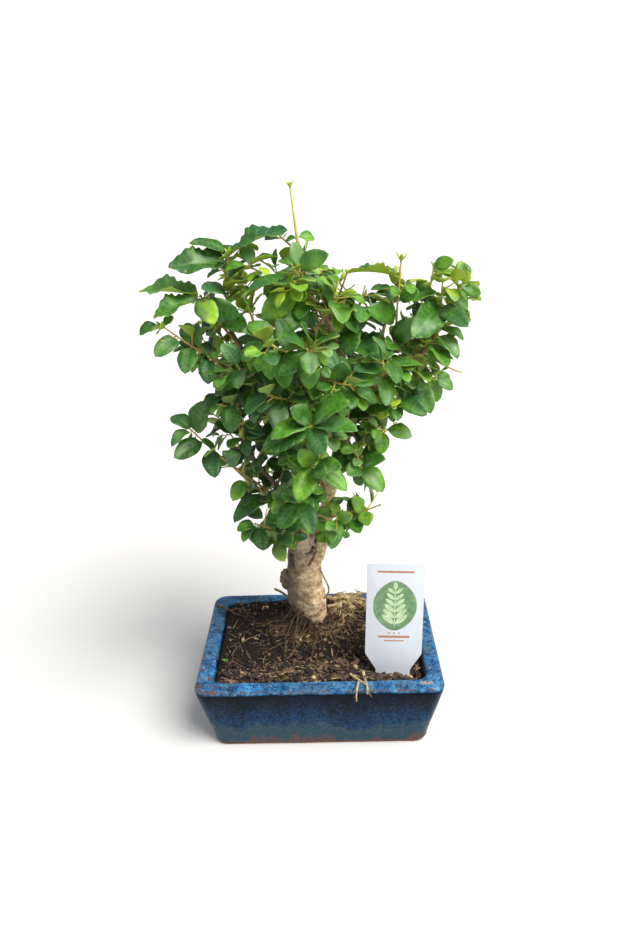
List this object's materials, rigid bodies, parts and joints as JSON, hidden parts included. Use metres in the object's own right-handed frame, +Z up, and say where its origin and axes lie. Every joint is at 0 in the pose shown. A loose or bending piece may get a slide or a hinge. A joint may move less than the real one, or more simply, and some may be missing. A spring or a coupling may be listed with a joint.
{
  "type": "privet bonsai in a pot",
  "caption": "Small-leaved privet bonsai with a stout pruned trunk and a broad leafy crown, in a shallow rectangular glazed pot with a plain plant label.",
  "frame": {"origin": "middle of the pot's flat underside, on the surface it stands on", "axes": "+Z up through the tree; +X towards the right-hand short end of the pot, the end with the label; -Y out of the pot's long front"},
  "size_m": [0.1884, 0.1462, 0.3251],
  "materials": {
    "blue_glaze": "gloss",
    "screen_mesh": "matte",
    "potting_soil": "matte",
    "bark": "matte",
    "dry_root": "matte",
    "label_plastic": "satin",
    "leaf": "satin"
  },
  "bodies": {
    "root": {"pot": "blue_glaze", "drain_screen_left": "screen_mesh", "drain_screen_right": "screen_mesh", "soil": "potting_soil", "trunk_boughs_and_roots": "bark", "dry_roots_rear": "dry_root", "dry_roots_front": "dry_root", "dry_root_left": "dry_root", "plant_label": "label_plastic", "twig_left_crest": "leaf", "twig_left_shoulder": "leaf", "twig_left_far": "leaf", "twig_left_inner": "leaf", "twig_left_front": "leaf", "twig_left_rear": "leaf", "twig_arm_tip": "leaf", "twig_arm_upper": "leaf", "twig_arm_front": "leaf", "twig_arm_rear": "leaf", "twig_low_left_side": "leaf", "twig_low_left_front": "leaf", "twig_low_left_foot": "leaf", "twig_low_left_rear": "leaf", "twig_right_spire": "leaf", "twig_right_inner": "leaf", "twig_right_outer": "leaf", "twig_right_crest": "leaf", "twig_right_side": "leaf", "twig_right_low": "leaf", "twig_right_front": "leaf", "twig_right_rear": "leaf", "twig_middle_tip": "leaf", "twig_middle_side": "leaf", "twig_middle_low": "leaf", "twig_middle_rear": "leaf", "twig_low_right": "leaf", "twig_low_right_leaf": "leaf", "twig_rosette": "leaf", "twig_rosette_low": "leaf", "twig_front_low": "leaf", "twig_front_hanging": "leaf", "twig_front_left": "leaf", "twig_front_middle": "leaf", "twig_front_right": "leaf", "twig_centre_top": "leaf", "twig_top_pale": "leaf", "twig_top_shoot": "leaf", "twig_top_left": "leaf", "twig_top_middle": "leaf", "twig_top_right": "leaf", "twig_top_far_right": "leaf", "twig_back_left_top": "leaf", "twig_back_left_side": "leaf", "twig_back_left_low": "leaf", "twig_back_top": "leaf", "twig_back_middle": "leaf", "twig_back_low": "leaf", "twig_back_right_top": "leaf", "twig_back_right_side": "leaf", "twig_back_right_low": "leaf"}
  },
  "joints": []
}
